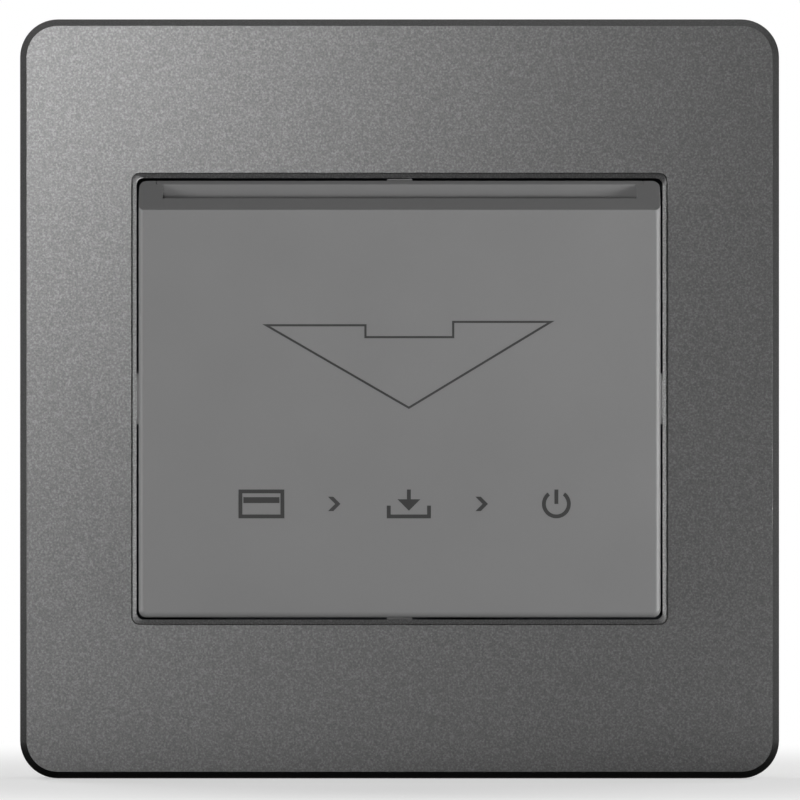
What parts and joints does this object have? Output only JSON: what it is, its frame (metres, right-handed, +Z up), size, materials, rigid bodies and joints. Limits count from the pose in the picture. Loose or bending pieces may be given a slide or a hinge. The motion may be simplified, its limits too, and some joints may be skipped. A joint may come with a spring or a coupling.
{
  "type": "key card switch",
  "caption": "Square wall-mounted hotel key card switch: a metallic grey frame around a raised panel whose top slot takes a card, with a sensing lever, relay board and wire terminals behind.",
  "frame": {"origin": "middle of the frame on the wall plane, half way between the two wall-box screw slots", "axes": "+Z up, +Y into the wall, +X to the right seen from the room; the front faces -Y"},
  "size_m": [0.09, 0.0403, 0.09],
  "materials": {
    "frame_paint": "grey metallic paint on moulded polycarbonate, fine sparkle",
    "panel_plastic": "satin grey moulded plastic",
    "cradle_plastic": "satin grey moulded plastic",
    "plate_plastic": "dark moulded nylon",
    "housing_plastic": "off-white flame retardant moulding",
    "terminal_plastic": "pale moulded terminal body",
    "lever_plastic": "natural acetal",
    "switch_plastic": "black phenolic",
    "plunger_plastic": "red acetal",
    "board_laminate": "green solder mask on glass laminate",
    "relay_plastic": "blue relay case",
    "relay_base_plastic": "black base",
    "film_epoxy": "yellow capacitor case",
    "can_sleeve": "dark shrink sleeve",
    "varistor_epoxy": "blue epoxy dip",
    "chip_epoxy": "black epoxy",
    "steel": "zinc plated steel",
    "spring_steel": "drawn spring wire",
    "tinned_copper": "tinned leads",
    "brass": "turned brass"
  },
  "bodies": {
    "switch": {"face_frame": "frame_paint", "card_panel": "panel_plastic", "card_cradle": "cradle_plastic", "support_plate": "plate_plastic", "cradle_screws": "steel", "lever_pin": "steel", "lever_spring": "spring_steel", "switch_case": "switch_plastic", "switch_cover": "switch_plastic", "switch_terminals": "tinned_copper", "circuit_board": "board_laminate", "board_screws": "steel", "relay_base": "relay_base_plastic", "relay_case": "relay_plastic", "relay_pins": "tinned_copper", "film_capacitor": "film_epoxy", "electrolytic_capacitor": "can_sleeve", "varistor": "varistor_epoxy", "component_leads": "tinned_copper", "rectifier_diodes": "chip_epoxy", "resistors": "chip_epoxy", "timer_chip": "chip_epoxy", "driver_transistor": "chip_epoxy", "rear_housing": "housing_plastic", "housing_screws": "steel", "terminal_block": "terminal_plastic", "terminal_pillars": "brass", "terminal_screws": "steel"},
    "lever": {"card_lever": "lever_plastic"},
    "plunger": {"switch_plunger": "plunger_plastic"}
  },
  "joints": [
    {"name": "lever_pivot", "type": "hinge", "parent": "switch", "child": "lever", "pos_m": [0, -0.005, -0.00045], "axis": [1, 0, 0], "range_deg": [0, 7], "stiffness_Nm_per_rad": 0.004, "springref_deg": -20.05, "deforming": ["lever_spring"]},
    {"name": "plunger_slide", "type": "slide", "parent": "switch", "child": "plunger", "axis": [0, 1, 0], "range_m": [0, 0.0011]}
  ],
  "couplings": [
    {"joint": "plunger_slide", "follows": "lever_pivot", "m_per_rad": 0.0086}
  ]
}
